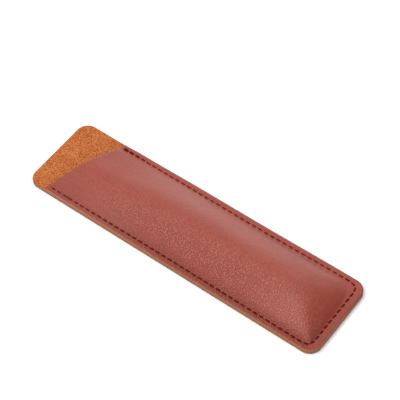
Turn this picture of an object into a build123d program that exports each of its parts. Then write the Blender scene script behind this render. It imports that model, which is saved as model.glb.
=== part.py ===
from build123d import *
import os

# A slim slip-in case for one fountain pen. Two panels, each a grain leather glued to a
# suede lining, lie flat on each other and are sewn together along both long sides and the
# closed end. The back panel is longer than the front one, whose mouth is cut on a slant.
#
# Row frame: the origin is at the middle of the back panel's underside, +X runs to the
# closed end, +Y to the side where the mouth is cut back further, and +Z up through the case.
# All dimensions are in millimetres.

# Outline
case_length = 165.0
case_width = 44.4
corner_radius = 6.1

# Plies, from the table up
leather_thickness = 0.7
lining_thickness = 0.7
glue_thickness = 0.1
back_lining_bottom = leather_thickness
glue_bottom = back_lining_bottom + lining_thickness
front_lining_bottom = glue_bottom + glue_thickness
front_leather_bottom = front_lining_bottom + lining_thickness
rim_top = front_leather_bottom + leather_thickness

# Mouth: a slanted cut across the front panel, slightly hollow between its two ends
mouth_near_x = -72.5
mouth_far_x = -56.9
mouth_hollow = 0.9

# Seam
seam_side_y = 19.6
seam_end_x = 78.7
seam_corner_radius = 3.0
seam_near_start_x = -70.0
seam_far_start_x = -56.6
stitch_pitch = 3.45
thread_radius = 0.27
thread_bend_radius = 0.4
thread_gap = 0.02
hole_radius = 0.7
leg_offset = 0.35
bed_size = 2 * (thread_radius + thread_gap)

# Pocket: the front panel bulges inside the seam
pocket_half_width = 18.7
pocket_end_x = 77.8
mouth_rise = 4.7
crown_rise = 8.4
mouth_rise_x = -60.0
crown_x = 48.0
end_slope_length = 25.0

# Cross-section of the pocket: where the bulge leaves the rim and where it rounds over,
# each as a share of the pocket's half width
shoulder_share = 0.80
brow_share = 0.61

# Lengthwise, this many sections, crowded by this power towards the closed end
section_count = 14
section_crowding = 1.5

# How far raw shapes run past the outline before trimming, and cutters past the plies
trim_allowance = 3.0
cutter_length = 40.0


def ease(amount):
    """Go from 0 to 1 with no slope at either end."""
    amount = min(max(amount, 0.0), 1.0)
    return amount * amount * (3.0 - 2.0 * amount)


def crown_height(x):
    """Height of the pocket's crown above the sewn rim, at one place along the case."""
    swell = mouth_rise + (crown_rise - mouth_rise) * ease(
        (x - mouth_rise_x) / (crown_x - mouth_rise_x)
    )
    return swell * ease((pocket_end_x - x) / end_slope_length)


def bulging_line(base, rise):
    """One face of the front panel in cross-section: flat rim, bulge, flat rim."""
    rim_edge = case_width / 2 + trim_allowance
    shoulder = pocket_half_width * shoulder_share
    brow = pocket_half_width * brow_share
    Line((-rim_edge, base), (-pocket_half_width, base))
    Bezier(
        (-pocket_half_width, base), (-shoulder, base), (-brow, base + rise), (0, base + rise)
    )
    Bezier((0, base + rise), (brow, base + rise), (shoulder, base), (pocket_half_width, base))
    Line((pocket_half_width, base), (rim_edge, base))


def ply_sections(bottom, thickness):
    """Cross-sections of one ply of the front panel, from past the mouth to the pocket's end."""
    rim_edge = case_width / 2 + trim_allowance
    start_x = -case_length / 2 - trim_allowance
    sections = []
    for step in range(section_count):
        share = 1.0 - (1.0 - step / (section_count - 1)) ** section_crowding
        x = start_x + (pocket_end_x - start_x) * share
        with BuildSketch(Plane.YZ.offset(x)) as section:
            with BuildLine():
                bulging_line(bottom, crown_height(x))
                Line((rim_edge, bottom), (rim_edge, bottom + thickness))
                bulging_line(bottom + thickness, crown_height(x))
                Line((-rim_edge, bottom + thickness), (-rim_edge, bottom))
            make_face()
        sections.append(section.sketch)
    return sections


def bulged_ply(bottom, thickness):
    """One ply of the front panel, trimmed to its outline and pierced along the seam."""
    with BuildPart() as ply:
        loft(ply_sections(bottom, thickness))
        with BuildSketch(Plane.YZ.offset(pocket_end_x)):
            with Locations((0, bottom + thickness / 2)):
                Rectangle(case_width + 2 * trim_allowance, thickness)
        extrude(amount=case_length / 2 + trim_allowance - pocket_end_x)
        with BuildSketch():
            add(front_outline.sketch)
        extrude(amount=cutter_length, mode=Mode.INTERSECT)
        with Locations(*hole_points):
            Cylinder(hole_radius, cutter_length, mode=Mode.SUBTRACT)
    return ply.part


def staple(length, run_z, leg_end_z):
    """One stitch along X: a run between two holes, and a leg down or up each of them."""
    half = length / 2 - leg_offset
    with BuildPart() as stitch:
        with BuildLine() as route:
            FilletPolyline(
                (-half, 0, leg_end_z),
                (-half, 0, run_z),
                (half, 0, run_z),
                (half, 0, leg_end_z),
                radius=thread_bend_radius,
            )
        with BuildSketch(Plane((-half, 0, leg_end_z), z_dir=route.line % 0)):
            Circle(thread_radius)
        sweep()
    return stitch.part


def sewn_thread(run_z, leg_end_z):
    """One thread's stitches all round the seam, with their runs and leg ends at these heights."""
    with BuildPart() as thread:
        for length, places in stitch_places.items():
            stitch = staple(length, run_z, leg_end_z)
            with Locations(*places):
                add(stitch)
    return thread.part


# ---- Outlines shared by the plies ----

with BuildSketch() as panel_outline:
    RectangleRounded(case_length, case_width, corner_radius)

side_y = case_width / 2
mouth_middle = Vector((mouth_near_x + mouth_far_x) / 2, 0)
mouth_direction = Vector(mouth_far_x - mouth_near_x, case_width).normalized()
mouth_deepest = mouth_middle + mouth_direction.rotate(Axis.Z, -90) * mouth_hollow

with BuildSketch() as front_outline:
    add(panel_outline.sketch)
    with BuildLine():
        ThreePointArc((mouth_near_x, -side_y), mouth_deepest, (mouth_far_x, side_y))
        Polyline(
            (mouth_far_x, side_y),
            (mouth_far_x, side_y + trim_allowance),
            (-case_length, side_y + trim_allowance),
            (-case_length, -side_y - trim_allowance),
            (mouth_near_x, -side_y - trim_allowance),
            (mouth_near_x, -side_y),
        )
    make_face(mode=Mode.SUBTRACT)

with BuildSketch() as glue_outline:
    add(front_outline.sketch)
    with Locations((pocket_end_x - case_length, 0)):
        RectangleRounded(
            2 * case_length, 2 * pocket_half_width, seam_corner_radius, mode=Mode.SUBTRACT
        )

# ---- The seam: a U that starts at the mouth on each side ----

with BuildLine() as seam:
    FilletPolyline(
        (seam_near_start_x, -seam_side_y),
        (seam_end_x, -seam_side_y),
        (seam_end_x, seam_side_y),
        (seam_far_start_x, seam_side_y),
        radius=seam_corner_radius,
    )

seam_wire = seam.wires()[0]
stitch_count = round(seam_wire.length / stitch_pitch)
hole_points = [seam_wire.position_at(i / stitch_count) for i in range(stitch_count + 1)]

stitch_places = {}
for first, second in zip(hole_points[:-1], hole_points[1:]):
    span = second - first
    turn = Vector(1, 0, 0).get_signed_angle(span, Vector(0, 0, 1))
    place = Location((first + second) * 0.5, (0, 0, turn))
    stitch_places.setdefault(round(span.length, 3), []).append(place)

# ---- Back panel: grain leather, with a bed for each stitch underneath, and its lining ----

with BuildPart() as back_leather:
    with BuildSketch():
        add(panel_outline.sketch)
    extrude(amount=leather_thickness)
    with Locations(*hole_points):
        Cylinder(hole_radius, cutter_length, mode=Mode.SUBTRACT)
    for length, places in stitch_places.items():
        with Locations(*places):
            Box(length - hole_radius, bed_size, 2 * bed_size, mode=Mode.SUBTRACT)
back_leather.part.label = "back_leather"

with BuildPart() as back_lining:
    with BuildSketch(Plane.XY.offset(back_lining_bottom)):
        add(panel_outline.sketch)
    extrude(amount=lining_thickness)
    with Locations(*hole_points):
        Cylinder(hole_radius, cutter_length, mode=Mode.SUBTRACT)
back_lining.part.label = "back_lining"

# ---- Glue line that holds the panels while they are sewn ----

with BuildPart() as seam_glue:
    with BuildSketch(Plane.XY.offset(glue_bottom)):
        add(glue_outline.sketch)
    extrude(amount=glue_thickness)
    with Locations(*hole_points):
        Cylinder(hole_radius, cutter_length, mode=Mode.SUBTRACT)
seam_glue.part.label = "seam_glue"

# ---- Front panel: lining and grain leather, bulged together over the pocket ----

with BuildPart() as front_lining:
    add(bulged_ply(front_lining_bottom, lining_thickness))
front_lining.part.label = "front_lining"

with BuildPart() as front_leather:
    add(bulged_ply(front_leather_bottom, leather_thickness))
front_leather.part.label = "front_leather"

# ---- Lockstitch: the needle thread on top, the bobbin thread sunk in its beds below ----

needle_run_z = rim_top + thread_radius + thread_gap
bobbin_run_z = thread_radius + thread_gap
lock_z = (needle_run_z + bobbin_run_z) / 2

with BuildPart() as needle_thread:
    add(sewn_thread(needle_run_z, lock_z + thread_gap))
needle_thread.part.label = "needle_thread"

with BuildPart() as bobbin_thread:
    add(sewn_thread(bobbin_run_z, lock_z - thread_gap))
bobbin_thread.part.label = "bobbin_thread"

# ---- Files ----

os.makedirs("parts", exist_ok=True)
pieces = (
    back_leather,
    back_lining,
    seam_glue,
    front_lining,
    front_leather,
    needle_thread,
    bobbin_thread,
)
for piece in pieces:
    export_step(piece.part, f"parts/{piece.part.label}.step")
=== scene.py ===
import math

import bmesh
import bpy
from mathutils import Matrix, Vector, noise
from mathutils.kdtree import KDTree


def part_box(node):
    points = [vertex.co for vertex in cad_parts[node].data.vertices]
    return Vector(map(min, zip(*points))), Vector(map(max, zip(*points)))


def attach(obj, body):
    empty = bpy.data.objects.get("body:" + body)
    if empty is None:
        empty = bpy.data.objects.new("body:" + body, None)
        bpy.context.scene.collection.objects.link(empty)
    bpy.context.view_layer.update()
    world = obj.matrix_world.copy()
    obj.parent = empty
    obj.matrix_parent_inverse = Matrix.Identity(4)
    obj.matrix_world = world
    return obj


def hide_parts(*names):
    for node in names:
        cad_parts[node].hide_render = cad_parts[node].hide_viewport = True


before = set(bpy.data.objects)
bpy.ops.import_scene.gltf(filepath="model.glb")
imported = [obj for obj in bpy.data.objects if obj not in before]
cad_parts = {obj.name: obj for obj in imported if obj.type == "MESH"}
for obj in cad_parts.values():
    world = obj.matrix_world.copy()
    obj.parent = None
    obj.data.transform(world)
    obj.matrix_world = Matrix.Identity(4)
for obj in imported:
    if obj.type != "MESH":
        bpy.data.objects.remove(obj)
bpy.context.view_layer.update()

# ---- Back panel: grain leather ----
# A plate of finished cowhide, grain side down on the table, die-cut with rounded corners.
# It runs the whole length of the case, so it also carries the open tongue before the mouth.
# The needle pulls the bobbin thread into its underside, one short bed for each stitch.

mm = 0.001
back_low, back_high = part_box("back_leather")
half_length = back_high.x
half_width = back_high.y
back_leather_top = back_high.z
corner_radius = 6.1 * mm

seam_side_inset = 2.6 * mm
seam_end_inset = 3.8 * mm
seam_side_y = half_width - seam_side_inset
seam_end_x = half_length - seam_end_inset
seam_near_start_x = -70.0 * mm
seam_far_start_x = -56.6 * mm
seam_corner_radius = 3.0 * mm
seam_wander = 0.30 * mm
stitch_count = 93

near_run = seam_end_x - seam_corner_radius - seam_near_start_x
corner_run = seam_corner_radius * math.pi / 2
end_run = 2 * (seam_side_y - seam_corner_radius)
far_run = seam_end_x - seam_corner_radius - seam_far_start_x
seam_length = near_run + corner_run + end_run + corner_run + far_run
stitch_pitch = seam_length / stitch_count


def seam_point(distance):
    """A place on the seam, that far along it from the near side of the mouth."""
    corner_x = seam_end_x - seam_corner_radius
    corner_y = seam_side_y - seam_corner_radius
    if distance < near_run:
        wander = seam_wander * math.sin(math.pi * distance / near_run) ** 2
        return Vector((seam_near_start_x + distance, wander - seam_side_y, 0))
    distance -= near_run
    if distance < corner_run:
        turn = distance / seam_corner_radius
        return Vector((
            corner_x + seam_corner_radius * math.sin(turn),
            -corner_y - seam_corner_radius * math.cos(turn),
            0,
        ))
    distance -= corner_run
    if distance < end_run:
        return Vector((seam_end_x, distance - corner_y, 0))
    distance -= end_run
    if distance < corner_run:
        turn = distance / seam_corner_radius
        return Vector((
            corner_x + seam_corner_radius * math.cos(turn),
            corner_y + seam_corner_radius * math.sin(turn),
            0,
        ))
    distance -= corner_run
    wander = seam_wander * math.sin(math.pi * distance / far_run) ** 2
    return Vector((corner_x - distance, seam_side_y - wander, 0))


needle_holes = [seam_point(i * stitch_pitch) for i in range(stitch_count + 1)]
steps_per_stitch = 8
seam_marks = [
    seam_point(i * stitch_pitch / steps_per_stitch)
    for i in range(stitch_count * steps_per_stitch + 1)
]


def nearest_finder(points):
    """A search tree that gives the distance to the nearest of these points."""
    tree = KDTree(len(points))
    for index, point in enumerate(points):
        tree.insert(point, index)
    tree.balance()
    return tree


hole_finder = nearest_finder(needle_holes)
seam_finder = nearest_finder(seam_marks)


channel_width = 0.70 * mm
hole_width = 0.42 * mm


def seam_pull(x, y, channel_depth, hole_depth):
    """How far the tight thread draws the leather in, in a channel and at each hole."""
    place = Vector((x, y, 0))
    from_seam = seam_finder.find(place)[2]
    from_hole = hole_finder.find(place)[2]
    channel = channel_depth * math.exp(-((from_seam / channel_width) ** 2))
    hole = hole_depth * math.exp(-((from_hole / hole_width) ** 2))
    return channel + hole


def unevenness(x, y, spacing, amount, seed):
    """Gentle hand-sized unevenness of a skin."""
    return amount * noise.noise(Vector((x / spacing, y / spacing, seed)))


def closer_at_edges(share, strength):
    """Spread mesh lines from -1 to 1 so that they stand closer together at both ends."""
    return (1 - strength) * share + strength * math.sin(share * math.pi / 2)


def round_corner(x, y):
    """Move a place in the square corner of the panel into its rounded corner."""
    a = (abs(x) - (half_length - corner_radius)) / corner_radius
    b = (abs(y) - (half_width - corner_radius)) / corner_radius
    if a <= 0 or b <= 0:
        return x, y
    rounded_a = a * math.sqrt(1 - b * b / 2)
    rounded_b = b * math.sqrt(1 - a * a / 2)
    return (
        math.copysign(half_length - corner_radius + corner_radius * rounded_a, x),
        math.copysign(half_width - corner_radius + corner_radius * rounded_b, y),
    )


def from_outline(x, y):
    """How far inside the panel's outline a place is."""
    a = abs(x) - (half_length - corner_radius)
    b = abs(y) - (half_width - corner_radius)
    if a > 0 and b > 0:
        return corner_radius - math.hypot(a, b)
    return corner_radius - max(a, b)


def worn_over(inside, width, depth):
    """How far the cutting and rubbing down of an edge has lowered the face beside it."""
    if inside >= width:
        return 0.0
    return depth * (1 - inside / width) ** 2


def ease(amount):
    """Go from 0 to 1 with no slope at either end."""
    amount = min(max(amount, 0.0), 1.0)
    return amount * amount * (3 - 2 * amount)


end_drift = 0.50 * mm
mouth_drift_from_x, mouth_drift_reach = -5 * mm, 40 * mm
end_drift_from_x, end_drift_reach = 15 * mm, 60 * mm


def let_drift(work, mouth_drift):
    """Move the far side as the hand-guided knife and seam did: in at the mouth, out later."""
    for vert in work.verts:
        x, y = vert.co.x, vert.co.y
        drift = mouth_drift * ease((mouth_drift_from_x - x) / mouth_drift_reach)
        drift += end_drift * ease((x - end_drift_from_x) / end_drift_reach)
        vert.co.y += drift * max(y / half_width, 0)


def make_piece(work, name):
    """Turn finished mesh work into a piece of the scene, at the origin."""
    mesh = bpy.data.meshes.new(name)
    work.to_mesh(mesh)
    work.free()
    piece = bpy.data.objects.new(name, mesh)
    bpy.context.scene.collection.objects.link(piece)
    return piece


crowding_across = 0.6
crowding_along = 0.35
rim_angle = math.radians(60)
wall_steepness = 0.35
rounded_rim_steepness = 0.6


def cut_ply(
    name, start_x, cells_long, cells_wide, top_z, bottom_z, edge_round, wear_width,
    mouth_drift=0.0,
):
    """Cut one ply to the case's outline and shape its two faces.

    start_x(y) is where its open end is cut; top_z(x, y) and bottom_z(x, y) are its faces.
    Its cut edge takes the second material. The attribute edge_wear runs from 1 at the
    outline to 0 at wear_width inside it."""
    ply = bmesh.new()
    bmesh.ops.create_grid(ply, x_segments=cells_long, y_segments=cells_wide, size=1)
    for vert in ply.verts:
        y = half_width * closer_at_edges(vert.co.y, crowding_across)
        along = (closer_at_edges(vert.co.x, crowding_along) + 1) / 2
        x = start_x(y) + (half_length - start_x(y)) * along
        vert.co = (*round_corner(x, y), 0)
    under = bmesh.ops.extrude_face_region(ply, geom=ply.faces[:])["geom"]
    under_verts = {item for item in under if isinstance(item, bmesh.types.BMVert)}
    for vert in ply.verts:
        face_z = bottom_z if vert in under_verts else top_z
        vert.co.z = face_z(vert.co.x, vert.co.y)
    # The grid stays on top and its copy becomes the underside; all faces then point outwards
    bmesh.ops.recalc_face_normals(ply, faces=ply.faces)
    rim = [
        edge for edge in ply.edges
        if len(edge.link_faces) == 2 and edge.calc_face_angle() > rim_angle
    ]
    rounded = bmesh.ops.bevel(
        ply, geom=rim, offset=edge_round, offset_type="OFFSET", affect="EDGES",
        segments=2, profile=0.5, material=-1, clamp_overlap=True,
    )
    ply.normal_update()
    for face in ply.faces:
        face.smooth = True
        face.material_index = 1 if abs(face.normal.z) < wall_steepness else 0
    for face in rounded["faces"]:
        face.material_index = 1 if abs(face.normal.z) < rounded_rim_steepness else 0
    wear = ply.verts.layers.float.new("edge_wear")
    for vert in ply.verts:
        inside = from_outline(vert.co.x, vert.co.y)
        vert[wear] = min(max(1 - inside / wear_width, 0.0), 1.0)
    let_drift(ply, mouth_drift)
    return make_piece(ply, name)


leather_wear_width = 0.6 * mm
leather_edge_round = 0.12 * mm
underside_wear_depth = 0.05 * mm
bed_channel_depth = 0.35 * mm
bed_hole_depth = 0.30 * mm
back_cells_long, back_cells_wide = 300, 80


def straight_end(y):
    """The back panel's open end, square across the case."""
    return -half_length


def back_underside(x, y):
    """The case's underside, with a bed for the bobbin thread and a worn rim."""
    worn = worn_over(from_outline(x, y), leather_wear_width, underside_wear_depth)
    return back_low.z + seam_pull(x, y, bed_channel_depth, bed_hole_depth) + worn


def back_leather_upside(x, y):
    """The flat face under the lining."""
    return back_leather_top


back_leather = cut_ply(
    "back_leather_skin", straight_end, back_cells_long, back_cells_wide,
    back_leather_upside, back_underside, leather_edge_round, leather_wear_width,
)


def new_finish(name):
    """An empty material and the three things that every finish starts from."""
    finish = bpy.data.materials.new(name)
    finish.use_nodes = True
    nodes = finish.node_tree.nodes
    links = finish.node_tree.links
    shader = nodes["Principled BSDF"]
    place = nodes.new("ShaderNodeTexCoord").outputs["Object"]
    return finish, nodes, links, shader, place


def speckle(nodes, links, place, scale, detail=3.0, roughness=0.5, distortion=0.0):
    """Soft random cloudiness; scale is in patches for each metre."""
    cloud = nodes.new("ShaderNodeTexNoise")
    cloud.inputs["Scale"].default_value = scale
    cloud.inputs["Detail"].default_value = detail
    cloud.inputs["Roughness"].default_value = roughness
    cloud.inputs["Distortion"].default_value = distortion
    links.new(place, cloud.inputs["Vector"])
    return cloud.outputs["Fac"]


def spread(nodes, links, value, low, high, out_low=0.0, out_high=1.0):
    """Stretch a value from one range to another, and hold it there."""
    stretch = nodes.new("ShaderNodeMapRange")
    stretch.inputs["From Min"].default_value = low
    stretch.inputs["From Max"].default_value = high
    stretch.inputs["To Min"].default_value = out_low
    stretch.inputs["To Max"].default_value = out_high
    links.new(value, stretch.inputs["Value"])
    return stretch.outputs["Result"]


def blend_colours(nodes, links, amount, first, second):
    """Mix two colours, or the colours from two sockets, by an amount."""
    mix = nodes.new("ShaderNodeMix")
    mix.data_type = "RGBA"
    links.new(amount, mix.inputs["Factor"])
    for socket, colour in ((mix.inputs["A"], first), (mix.inputs["B"], second)):
        if isinstance(colour, tuple):
            socket.default_value = (*colour, 1)
        else:
            links.new(colour, socket)
    return mix.outputs["Result"]


def combine(nodes, links, kind, first, second):
    """Add, multiply or otherwise combine two values."""
    sum_node = nodes.new("ShaderNodeMath")
    sum_node.operation = kind
    for socket, value in ((sum_node.inputs[0], first), (sum_node.inputs[1], second)):
        if isinstance(value, (int, float)):
            socket.default_value = value
        else:
            links.new(value, socket)
    return sum_node.outputs["Value"]


def multiply(nodes, links, *factors):
    """Multiply several values together."""
    product = factors[0]
    for factor in factors[1:]:
        product = combine(nodes, links, "MULTIPLY", product, factor)
    return product


def coordinates(nodes, links, place):
    """The X, Y and Z of each place on the piece, as three values."""
    split = nodes.new("ShaderNodeSeparateXYZ")
    links.new(place, split.inputs["Vector"])
    return split.outputs["X"], split.outputs["Y"], split.outputs["Z"]


def from_cell_middle(nodes, links, place, scale, randomness):
    """How far each place is from the middle of its cell; scale is in cells for each metre."""
    cells = nodes.new("ShaderNodeTexVoronoi")
    cells.feature = "F1"
    cells.inputs["Scale"].default_value = scale
    cells.inputs["Randomness"].default_value = randomness
    links.new(place, cells.inputs["Vector"])
    return cells.outputs["Distance"]


def press_relief(nodes, links, shader, height, depth):
    """Give the surface a relief of this depth, in metres."""
    relief = nodes.new("ShaderNodeBump")
    relief.inputs["Strength"].default_value = 1.0
    relief.inputs["Distance"].default_value = depth
    links.new(height, relief.inputs["Height"])
    links.new(relief.outputs["Normal"], shader.inputs["Normal"])


def finished_grain():
    """Red-brown pigment finish over a pebbled grain.

    The pebbles stand up on the near slope of the pocket and are pressed flat elsewhere."""
    finish, nodes, links, shader, place = new_finish("finished_grain")
    place_x, place_y, place_z = coordinates(nodes, links, place)
    toward_end = combine(
        nodes, links, "ADD", place_x, combine(nodes, links, "MULTIPLY", place_y, 0.9)
    )

    # Relief: pebbles, their fine pores, and how coarse they are from place to place
    from_middle = from_cell_middle(nodes, links, place, 1260, 0.9)
    pebble_height = spread(
        nodes, links, combine(nodes, links, "POWER", from_middle, 2.0), 0.45, 0.0
    )
    pores = speckle(nodes, links, place, 3200, 2.0)
    coarse = multiply(
        nodes, links,
        spread(nodes, links, place_y, -9 * mm, 1 * mm, 1.0, 0.06),
        spread(nodes, links, place_x, -54 * mm, -6 * mm, 0.12, 1.0),
        spread(nodes, links, toward_end, 57 * mm, 64 * mm, 1.0, 0.35),
        spread(nodes, links, place_z, 0.5 * mm, 2.5 * mm, 0.20, 1.0),
    )

    # Pigment: slow and quick changes of tone, and darker creases between the pebbles
    patches = speckle(nodes, links, place, 45, 3.0, 0.55)
    fine_patches = speckle(nodes, links, place, 420, 3.0, 0.6)
    body = blend_colours(
        nodes, links, spread(nodes, links, patches, 0.3, 0.7),
        (0.270, 0.038, 0.018), (0.296, 0.047, 0.023),
    )
    tone = blend_colours(
        nodes, links, spread(nodes, links, fine_patches, 0.35, 0.75, 0.0, 0.35),
        body, (0.232, 0.030, 0.014),
    )
    colour = blend_colours(
        nodes, links, spread(nodes, links, pebble_height, 0.0, 0.6, 0.35, 0.0),
        tone, (0.17, 0.020, 0.009),
    )

    # Painted highlight: a paler patch low on the near slope by the closed end, and painted
    # glints on the pebble tops
    painted_highlight_patch = multiply(
        nodes, links,
        spread(nodes, links, place_x, 35 * mm, 60 * mm, 0.0, 0.34),
        spread(nodes, links, toward_end, 57 * mm, 63 * mm, 1.0, 0.0),
        spread(nodes, links, place_z, 3.2 * mm, 4.6 * mm),
        spread(nodes, links, place_y, -9 * mm, -2 * mm, 1.0, 0.0),
    )
    colour = blend_colours(nodes, links, painted_highlight_patch, colour, (0.40, 0.125, 0.090))
    # Painted glints: the tops of coarse pebbles are coloured paler and pinker
    painted_glint_tops = multiply(
        nodes, links, coarse, spread(nodes, links, pebble_height, 0.60, 0.96, 0.0, 0.60)
    )
    colour = blend_colours(nodes, links, painted_glint_tops, colour, (0.50, 0.19, 0.145))

    # Painted shade: the low part of the far slope, by the far seam, is coloured darker
    painted_far_foot_shade = multiply(
        nodes, links,
        spread(nodes, links, place_z, 3.0 * mm, 6.0 * mm, 0.60, 0.0),
        spread(nodes, links, place_y, 10 * mm, 19 * mm, 1.0, 0.0),
    )
    colour = blend_colours(nodes, links, painted_far_foot_shade, colour, (0.205, 0.025, 0.008))

    # Rim: worn through to tan on the near side and darker on the far side
    rim_colour = blend_colours(
        nodes, links, spread(nodes, links, place_y, 0.0, 18 * mm),
        (0.325, 0.105, 0.047), (0.14, 0.042, 0.020),
    )
    wear = nodes.new("ShaderNodeAttribute")
    wear.attribute_name = "edge_wear"
    ragged = combine(
        nodes, links, "ADD", wear.outputs["Fac"],
        spread(nodes, links, fine_patches, 0.3, 0.7, -0.18, 0.18),
    )
    colour = blend_colours(
        nodes, links, spread(nodes, links, ragged, 0.42, 0.72), colour, rim_colour
    )
    links.new(colour, shader.inputs["Base Color"])

    # Satin overall; coarse pebbles are polished on top and dull in the creases
    polish = multiply(
        nodes, links, coarse, spread(nodes, links, pebble_height, 0.3, 0.9, 0.16, -0.14)
    )
    links.new(combine(nodes, links, "ADD", polish, 0.36), shader.inputs["Roughness"])
    shader.inputs["Specular IOR Level"].default_value = 0.43
    height = combine(
        nodes, links, "ADD", pebble_height, combine(nodes, links, "MULTIPLY", pores, 0.25)
    )
    press_relief(nodes, links, shader, multiply(nodes, links, height, coarse), 0.30 * mm)
    return finish


def raw_edge(name, core, dark):
    """Cut edge of a ply: short tan fibres in faint layers, undyed, with painted shade along
    its foot by the table.
    """
    finish, nodes, links, shader, place = new_finish(name)
    squeeze = nodes.new("ShaderNodeMapping")
    squeeze.inputs["Scale"].default_value = (1, 1, 3.5)
    links.new(place, squeeze.inputs["Vector"])
    fibres = speckle(nodes, links, squeeze.outputs["Vector"], 1500, 5.0, 0.7, 0.4)
    patches = speckle(nodes, links, place, 90, 3.0)
    body = blend_colours(
        nodes, links, spread(nodes, links, patches, 0.3, 0.7), core,
        tuple(0.86 * channel for channel in core),
    )
    colour = blend_colours(
        nodes, links, spread(nodes, links, fibres, 0.35, 0.75, 0.0, 0.55), body, dark
    )
    place_z = coordinates(nodes, links, place)[2]
    # Painted shade: the lowest half millimetre of the edge is darkened like a contact shadow
    painted_contact_shade = spread(nodes, links, place_z, 0.20 * mm, 0.55 * mm, 0.85, 0.0)
    colour = blend_colours(nodes, links, painted_contact_shade, colour, (0.085, 0.034, 0.017))
    links.new(colour, shader.inputs["Base Color"])
    shader.inputs["Roughness"].default_value = 0.72
    shader.inputs["Specular IOR Level"].default_value = 0.35
    press_relief(nodes, links, shader, fibres, 0.08 * mm)
    return finish


grain_finish = finished_grain()
leather_edge = raw_edge("leather_edge", (0.325, 0.120, 0.047), (0.16, 0.053, 0.020))
back_leather.data.materials.append(grain_finish)
back_leather.data.materials.append(leather_edge)
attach(back_leather, "root")
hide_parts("back_leather")

# ---- Back panel: suede lining ----
# A thin split, napped side up, glued all over to the back of the grain leather and cut
# with it. It shows as the orange tongue before the mouth and lines the pocket's floor.

lining_low, lining_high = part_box("back_lining")
nap_depth = 0.03 * mm
lining_wear_width = 0.4 * mm


def back_lining_upside(x, y):
    """The napped face: a fine fuzz over slow waves."""
    nap = unevenness(x, y, spacing=1.1 * mm, amount=0.018 * mm, seed=3.0)
    waves = unevenness(x, y, spacing=14 * mm, amount=0.02 * mm, seed=7.0)
    return lining_high.z - nap_depth + nap + waves


def back_lining_underside(x, y):
    """The flat face glued to the leather."""
    return lining_low.z


back_lining = cut_ply(
    "back_lining_suede", straight_end, back_cells_long, back_cells_wide,
    back_lining_upside, back_lining_underside, leather_edge_round, lining_wear_width,
)


def napped_suede():
    """Tan-orange suede: a short matt nap with small dark pores, with painted shade beside the
    lip.
    """
    finish, nodes, links, shader, place = new_finish("napped_suede")
    tufts = speckle(nodes, links, place, 1900, 2.0, 0.6, 0.5)
    from_hair_root = from_cell_middle(nodes, links, place, 1050, 0.8)
    pores = spread(nodes, links, from_hair_root, 0.12, 0.46, 1.0, 0.0)
    fluff = speckle(nodes, links, place, 3600, 3.0, 0.6)
    patches = speckle(nodes, links, place, 110, 4.0, 0.6)
    body = blend_colours(
        nodes, links, spread(nodes, links, patches, 0.3, 0.7),
        (0.475, 0.142, 0.036), (0.535, 0.176, 0.049),
    )
    lit = blend_colours(
        nodes, links, spread(nodes, links, fluff, 0.42, 0.72, 0.0, 0.6),
        body, (0.66, 0.29, 0.125),
    )
    shaded = combine(
        nodes, links, "ADD", combine(nodes, links, "MULTIPLY", pores, 0.60),
        spread(nodes, links, tufts, 0.36, 0.62, 0.9, -0.2),
    )
    place_x, place_y = coordinates(nodes, links, place)[:2]
    # Painted shade: the suede is coloured darker towards the lip and beyond it
    toward_lip = combine(
        nodes, links, "SUBTRACT", place_x,
        combine(nodes, links, "MULTIPLY", place_y, 0.34),
    )
    painted_lip_shade = spread(nodes, links, toward_lip, -75 * mm, -65 * mm, 0.0, 0.22)
    lit = blend_colours(nodes, links, painted_lip_shade, lit, (0.24, 0.060, 0.014))
    colour = blend_colours(
        nodes, links, spread(nodes, links, shaded, 0.0, 1.0), lit, (0.24, 0.036, 0.003)
    )
    links.new(colour, shader.inputs["Base Color"])
    shader.inputs["Roughness"].default_value = 0.95
    shader.inputs["Specular IOR Level"].default_value = 0.12
    shader.inputs["Sheen Weight"].default_value = 0.25
    shader.inputs["Sheen Roughness"].default_value = 0.45
    shader.inputs["Sheen Tint"].default_value = (1.0, 0.62, 0.36, 1)
    height = combine(
        nodes, links, "ADD", tufts, combine(nodes, links, "MULTIPLY", fluff, 0.35)
    )
    press_relief(nodes, links, shader, height, 0.22 * mm)
    return finish


suede_finish = napped_suede()
lining_edge = raw_edge("lining_edge", (0.310, 0.118, 0.052), (0.17, 0.058, 0.022))
back_lining.data.materials.append(suede_finish)
back_lining.data.materials.append(lining_edge)
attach(back_lining, "root")
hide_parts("back_lining")

# ---- Glue line ----
# A thin U of contact cement round the three sewn sides, which holds the two panels while
# they are stitched. Only its hairline edge shows between them.


def dried_cement():
    """Contact cement gone pale amber, a little lumpy where it squeezed out."""
    finish, nodes, links, shader, place = new_finish("dried_cement")
    lumps = speckle(nodes, links, place, 600, 3.0)
    colour = blend_colours(
        nodes, links, spread(nodes, links, lumps, 0.3, 0.7),
        (0.24, 0.095, 0.045), (0.31, 0.14, 0.07),
    )
    links.new(colour, shader.inputs["Base Color"])
    shader.inputs["Roughness"].default_value = 0.6
    press_relief(nodes, links, shader, lumps, 0.05 * mm)
    return finish


glue_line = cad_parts["seam_glue"]
glue_line.data.materials.clear()
glue_line.data.materials.append(dried_cement())

# ---- Front panel: suede lining ----
# The same split, napped side in. It is cut with the front leather along the slanted mouth
# and is pushed up with it over the pocket, where a pen has shaped it.

front_lining_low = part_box("front_lining")[0]
front_leather_low, front_leather_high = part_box("front_leather")
lining_thickness = lining_high.z - lining_low.z
front_lining_flat = front_lining_low.z + lining_thickness
rim_top = front_leather_low.z + back_leather_top

mouth_near_x = front_leather_low.x
mouth_angle = math.radians(18.9)
mouth_hollow = 0.3 * mm
front_drift = -0.34 * mm

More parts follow.
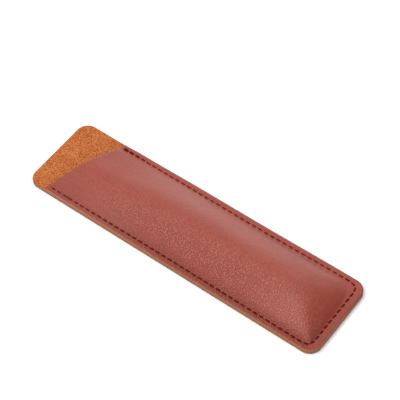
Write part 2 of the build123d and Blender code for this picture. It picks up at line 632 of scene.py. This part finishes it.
# The pocket's foot, inside the seam, and how high it stands along the case
pocket_half_width = half_width - 3.0 * mm
pocket_end_x = half_length - 4.2 * mm
mouth_rise = 4.0 * mm
mouth_rise_x = -72.0 * mm
crown_rise = front_leather_high.z - rim_top
crown_x = 46.0 * mm
fullness_x = 0.0

# Its closed end slopes down over this length, a longer one towards the far side
pocket_end_slope = 20.0 * mm
pocket_end_skew = 0.25
far_reach = 4.0 * mm
far_reach_from_y = -4 * mm
far_side_width = 12 * mm

# How softly its faces run into each other: over the ridge, down the end, at the hips
# between sides and end, and round its foot
ridge_round = 3.0 * mm
full_slope = 1.2
full_slope_round = 0.1
hip_round = 0.04
hip_round_far = 0.16
hip_round_growth = 0.30
foot_round = 0.03


def mouth_line(y):
    """Where the front panel is cut: on a slant, slightly hollow in the middle."""
    across = y / half_width
    slant = (y + half_width) * math.tan(mouth_angle)
    return mouth_near_x + slant + mouth_hollow * (1 - across * across)


def lesser(first, second, softness):
    """The smaller of two values, rounded over where they cross."""
    gap = first - second
    return 0.5 * (first + second - math.sqrt(gap * gap + softness * softness))


def pocket_rise(x, y):
    """How high the front panel stands above its sewn rim: a pillow with a hipped end."""
    from_side = (pocket_half_width - math.hypot(y, ridge_round)) / pocket_half_width
    reach = far_reach * ease((y - far_reach_from_y) / far_side_width)
    from_end = (pocket_end_x - x) / (pocket_end_slope + pocket_end_skew * y + reach)
    if from_side <= 0 or from_end <= 0:
        return 0.0
    far_hip = hip_round_far * ease(y / far_side_width)
    hip_softness = hip_round + far_hip + hip_round_growth * min(from_side, from_end)
    down_end = lesser(from_end, full_slope, full_slope_round)
    inward = max(lesser(from_side, down_end, hip_softness), 0.0)
    inward = min(math.sqrt(inward * inward + foot_round ** 2) - foot_round, 1.0)
    crown = mouth_rise + (crown_rise - mouth_rise) * ease(
        (x - mouth_rise_x) / (crown_x - mouth_rise_x)
    )
    pillow = 1 - (1 - inward) ** 2
    filled = ease((x - mouth_rise_x) / (fullness_x - mouth_rise_x))
    slack = 1 + unevenness(x, y, spacing=24 * mm, amount=0.05, seed=11.0)
    slack += unevenness(x, y, spacing=9 * mm, amount=0.015, seed=5.0)
    return crown * (inward + (pillow - inward) * filled) * slack


corner_thinning = 0.45 * mm
corner_thinning_length = 10 * mm
corner_thinning_from_y = 16 * mm
corner_thinning_width = 5 * mm
lining_share_of_thinning = 0.5


def thinned_corner(x, y):
    """How much the front panel is pared down at the far corner of its mouth."""
    near_lip = ease(1 - (x - mouth_line(y)) / corner_thinning_length)
    far_out = ease((y - corner_thinning_from_y) / corner_thinning_width)
    return corner_thinning * near_lip * far_out


def plies_meet(x, y):
    """How far the face where leather and lining meet is lowered by the paring."""
    return lining_share_of_thinning * thinned_corner(x, y)


def front_lining_upside(x, y):
    """The face glued to the leather."""
    return front_lining_flat + pocket_rise(x, y) - plies_meet(x, y)


def front_lining_underside(x, y):
    """The pocket's suede roof."""
    return front_lining_low.z + pocket_rise(x, y)


front_lining_edge_round = 0.10 * mm
front_lining_cells_long, front_lining_cells_wide = 260, 72

front_lining = cut_ply(
    "front_lining_suede", mouth_line, front_lining_cells_long, front_lining_cells_wide,
    front_lining_upside, front_lining_underside, front_lining_edge_round,
    lining_wear_width, front_drift,
)
front_lining.data.materials.append(suede_finish)
front_lining.data.materials.append(lining_edge)
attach(front_lining, "root")
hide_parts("front_lining")

# ---- Front panel: grain leather ----
# The skin of the case that faces up: the same finished cowhide, stretched over the pocket
# and drawn down along the seam by every stitch. Its cut edge is left raw and rounded over.


front_channel_depth = 0.13 * mm
front_hole_depth = 0.03 * mm
rim_worn_width, rim_worn_depth = 0.8 * mm, 0.30 * mm
lip_worn_width, lip_worn_depth = 0.5 * mm, 0.15 * mm
front_wear_width = 0.75 * mm
front_leather_cells_long, front_leather_cells_wide = 330, 92


def front_leather_upside(x, y):
    """The grain side: drawn down at the seam, rounded at the rim and the lip."""
    rise = pocket_rise(x, y) - thinned_corner(x, y)
    pull = seam_pull(x, y, front_channel_depth, front_hole_depth)
    worn = worn_over(from_outline(x, y), rim_worn_width, rim_worn_depth)
    worn_lip = worn_over(x - mouth_line(y), lip_worn_width, lip_worn_depth)
    waves = unevenness(x, y, spacing=7 * mm, amount=0.03 * mm, seed=2.0)
    return rim_top + rise - pull - worn - worn_lip + waves


def front_leather_underside(x, y):
    """The face glued to the lining."""
    return front_leather_low.z + pocket_rise(x, y) - plies_meet(x, y)


front_leather = cut_ply(
    "front_leather_skin", mouth_line, front_leather_cells_long, front_leather_cells_wide,
    front_leather_upside, front_leather_underside, leather_edge_round,
    front_wear_width, front_drift,
)
front_leather.data.materials.append(grain_finish)
front_leather.data.materials.append(leather_edge)
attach(front_leather, "root")
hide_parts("front_leather")

# ---- Needle thread ----
# The upper thread of a machine lockstitch: three-ply waxed polyester, dark red. Each stitch
# comes out of one hole, lies on the leather, and is pulled down into the next.

thread_radius = 0.36 * mm
thread_plies = 3
thread_lay = 1.9 * mm
ply_bulge = 0.13
tight_fullness = 0.60
end_stitch_slant = -0.22 * mm
doubled_stitches = 4
double_offset = 0.22 * mm
lock_stitch = 2.5

# One stitch: its cross-sections and how it humps over the leather and dives at both ends
stitch_rings = 13
ring_corners = 9
end_pull_in = 0.85
hump_height = 0.16 * mm
dive_depth = 0.72 * mm
dive_sharpness = 3.5
dive_lean = 1.1
end_thinning = 0.28
end_thinning_sharpness = 2.5


near_tight_to_x, near_easing = -62 * mm, 40 * mm
far_tight_from_x, mouth_easing = -43 * mm, 2 * mm
far_tight_to_x, end_easing = 68 * mm, 8 * mm


def fullness(place):
    """How full a stitch looks: tight on the far side and at the start of the near side."""
    if place.y < 0:
        slack = ease((place.x - near_tight_to_x) / near_easing)
    else:
        by_closed_end = ease((place.x - far_tight_to_x) / end_easing)
        by_mouth = ease((far_tight_from_x - place.x) / mouth_easing)
        slack = max(by_closed_end, by_mouth)
    return tight_fullness + (1 - tight_fullness) * slack


def next_ring(seam_work, loop):
    """Extrude an open ring of thread into the next one and give back its points."""
    edges = []
    for vert in loop:
        for edge in vert.link_edges:
            if edge not in edges and all(other in loop for other in edge.verts):
                edges.append(edge)
    grown = bmesh.ops.extrude_edge_only(seam_work, edges=edges)["geom"]
    return [item for item in grown if isinstance(item, bmesh.types.BMVert)]


def lay_stitch(seam_work, start, end, surface_z, outward):
    """Sew one stitch of laid thread into the mesh, from one hole to the next."""
    up = Vector((0, 0, 1))
    radius = thread_radius * fullness(start)
    length = (end - start).length
    course = (end - start).normalized()
    slant = course.cross(up) * end_stitch_slant * max(course.y, 0) ** 2
    start, end = start + slant, end - slant
    direction = (end - start).normalized()
    sideways = direction.cross(up)
    ring = bmesh.ops.create_circle(seam_work, segments=ring_corners, radius=radius)["verts"]
    rings = []
    for step in range(stitch_rings):
        share = 2 * step / (stitch_rings - 1) - 1
        if step:
            ring = next_ring(seam_work, ring)
        rings.append(ring)
        along = share * (length / 2 - end_pull_in * radius)
        height = outward * (hump_height - dive_depth * abs(share) ** dive_sharpness)
        centre = (start + end) / 2 + direction * along + Vector((0, 0, surface_z + height))
        lean = direction - up * outward * dive_lean * share * abs(share) ** 2
        lean.normalize()
        rise = sideways.cross(lean)
        fatness = 1.0 - end_thinning * abs(share) ** end_thinning_sharpness
        for index, vert in enumerate(ring):
            around = 2 * math.pi * index / len(ring)
            twist = 2 * math.pi * along / thread_lay
            bulge = 1 + ply_bulge * math.cos(thread_plies * (around - twist / thread_plies))
            offset = radius * fatness * bulge
            vert.co = (
                centre
                + sideways * math.cos(around) * offset
                + rise * math.sin(around) * offset
            )
    for end_ring in (rings[0], rings[-1]):
        bmesh.ops.contextual_create(seam_work, geom=list(end_ring))


def sew(name, surface_z, outward, mouth_drift):
    """One thread's stitches, all the way round the seam.

    A lock stitch near its start and a few doubled stitches at its end hold it."""
    seam_work = bmesh.new()
    for index in range(stitch_count):
        start, end = needle_holes[index], needle_holes[index + 1]
        lay_stitch(seam_work, start, end, surface_z, outward)
    lay_stitch(
        seam_work, seam_point(lock_stitch * stitch_pitch),
        seam_point((lock_stitch + 1) * stitch_pitch), surface_z, outward,
    )
    for index in range(stitch_count - doubled_stitches, stitch_count):
        beside = Vector((0, double_offset, 0))
        start, end = needle_holes[index] + beside, needle_holes[index + 1] + beside
        lay_stitch(seam_work, start, end, surface_z, outward)
    let_drift(seam_work, mouth_drift)
    bmesh.ops.recalc_face_normals(seam_work, faces=seam_work.faces)
    for face in seam_work.faces:
        face.smooth = True
    return make_piece(seam_work, name)


def waxed_thread():
    """Dark red twisted thread with a dull wax shine."""
    finish, nodes, links, shader, place = new_finish("waxed_thread")
    fuzz = speckle(nodes, links, place, 5200, 3.0, 0.6)
    patches = speckle(nodes, links, place, 160, 2.0)
    body = blend_colours(
        nodes, links, spread(nodes, links, patches, 0.3, 0.7),
        (0.115, 0.0045, 0.0018), (0.150, 0.0065, 0.0028),
    )
    colour = blend_colours(
        nodes, links, spread(nodes, links, fuzz, 0.35, 0.75, 0.0, 0.6),
        body, (0.050, 0.002, 0.001),
    )
    links.new(colour, shader.inputs["Base Color"])
    shader.inputs["Roughness"].default_value = 0.75
    shader.inputs["Specular IOR Level"].default_value = 0.04
    press_relief(nodes, links, shader, fuzz, 0.05 * mm)
    return finish


thread_finish = waxed_thread()
needle_sunk = 0.08 * mm
needle_thread = sew("needle_thread_stitches", rim_top - needle_sunk, 1, front_drift)
needle_thread.data.materials.append(thread_finish)
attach(needle_thread, "root")
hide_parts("needle_thread")

# ---- Bobbin thread ----
# The lower thread of the lockstitch, the same thread pulled flush into its beds, so that
# the case lies flat.

bobbin_sunk = 0.50 * mm
bobbin_thread = sew("bobbin_thread_stitches", back_low.z + bobbin_sunk, -1, 0.0)
bobbin_thread.data.materials.append(thread_finish)
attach(bobbin_thread, "root")
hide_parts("bobbin_thread")

# ---- Table, light and camera ----
# A plain white sheet. One soft light stands high over the near side and a wider one low
# behind the far side. The pale room is bright past the open end and dim past the closed one.

table_half = 3.0
table_gap = 0.02 * mm
sheet = bmesh.new()
bmesh.ops.create_grid(sheet, x_segments=1, y_segments=1, size=table_half)
bmesh.ops.translate(sheet, verts=sheet.verts, vec=(0, 0, -table_gap))
table = make_piece(sheet, "table")
table_finish, nodes, links, shader, place = new_finish("white_table")
links.new(
    blend_colours(
        nodes, links, speckle(nodes, links, place, 8, 2.0),
        (0.93, 0.93, 0.94), (0.95, 0.95, 0.955),
    ),
    shader.inputs["Base Color"],
)
shader.inputs["Roughness"].default_value = 0.9
shader.inputs["Specular IOR Level"].default_value = 0.1
table.data.materials.append(table_finish)


def soft_light(name, direction, distance, size, power, colour):
    """A square soft light aimed at the case from this direction."""
    lamp = bpy.data.lights.new(name, "AREA")
    lamp.shape = "SQUARE"
    lamp.size = size
    lamp.energy = power
    lamp.color = colour
    stand = bpy.data.objects.new(name, lamp)
    heading = Vector(direction).normalized()
    stand.location = heading * distance
    stand.rotation_euler = heading.to_track_quat("Z", "Y").to_euler()
    bpy.context.scene.collection.objects.link(stand)


soft_light(
    "main_light", direction=(-0.24, -0.42, 0.88), distance=0.9, size=0.45, power=3.1,
    colour=(1.0, 0.99, 0.98),
)
soft_light(
    "back_light", direction=(-0.55, 0.81, 0.20), distance=1.2, size=0.7, power=1.85,
    colour=(0.99, 0.99, 1.0),
)

room = bpy.data.worlds.new("pale_room")
room.use_nodes = True
room_nodes = room.node_tree.nodes
room_links = room.node_tree.links
direction = room_nodes.new("ShaderNodeTexCoord").outputs["Generated"]
split = room_nodes.new("ShaderNodeSeparateXYZ")
room_links.new(direction, split.inputs["Vector"])
walls = room_nodes.new("ShaderNodeValToRGB")
walls.color_ramp.interpolation = "EASE"
walls.color_ramp.elements[0].position = 0.45
walls.color_ramp.elements[0].color = (1.14, 1.14, 1.15, 1)
walls.color_ramp.elements[1].position = 0.80
walls.color_ramp.elements[1].color = (0.36, 0.36, 0.37, 1)
sideways = room_nodes.new("ShaderNodeMapRange")
sideways.inputs["From Min"].default_value = -1.0
sideways.inputs["From Max"].default_value = 1.0
room_links.new(split.outputs["X"], sideways.inputs["Value"])
room_links.new(sideways.outputs["Result"], walls.inputs["Fac"])
room_links.new(walls.outputs["Color"], room_nodes["Background"].inputs["Color"])
room_nodes["Background"].inputs["Strength"].default_value = 1.2
bpy.context.scene.world = room

camera_azimuth = math.radians(36.41)
camera_height = math.radians(53.97)
camera_distance = 759.07 * mm
aim = Vector((-9.46 * mm, 18.06 * mm, 0))
lens = bpy.data.cameras.new("camera")
lens.sensor_width = 36
lens.lens = 143.75
lens.clip_start = 0.05
lens.clip_end = 20
camera = bpy.data.objects.new("camera", lens)
back = Vector((
    math.sin(camera_azimuth) * math.cos(camera_height),
    -math.cos(camera_azimuth) * math.cos(camera_height),
    math.sin(camera_height),
))
camera.location = aim + back * camera_distance
camera.rotation_euler = back.to_track_quat("Z", "Y").to_euler()
bpy.context.scene.collection.objects.link(camera)
bpy.context.scene.camera = camera
bpy.context.scene.view_settings.view_transform = "Standard"
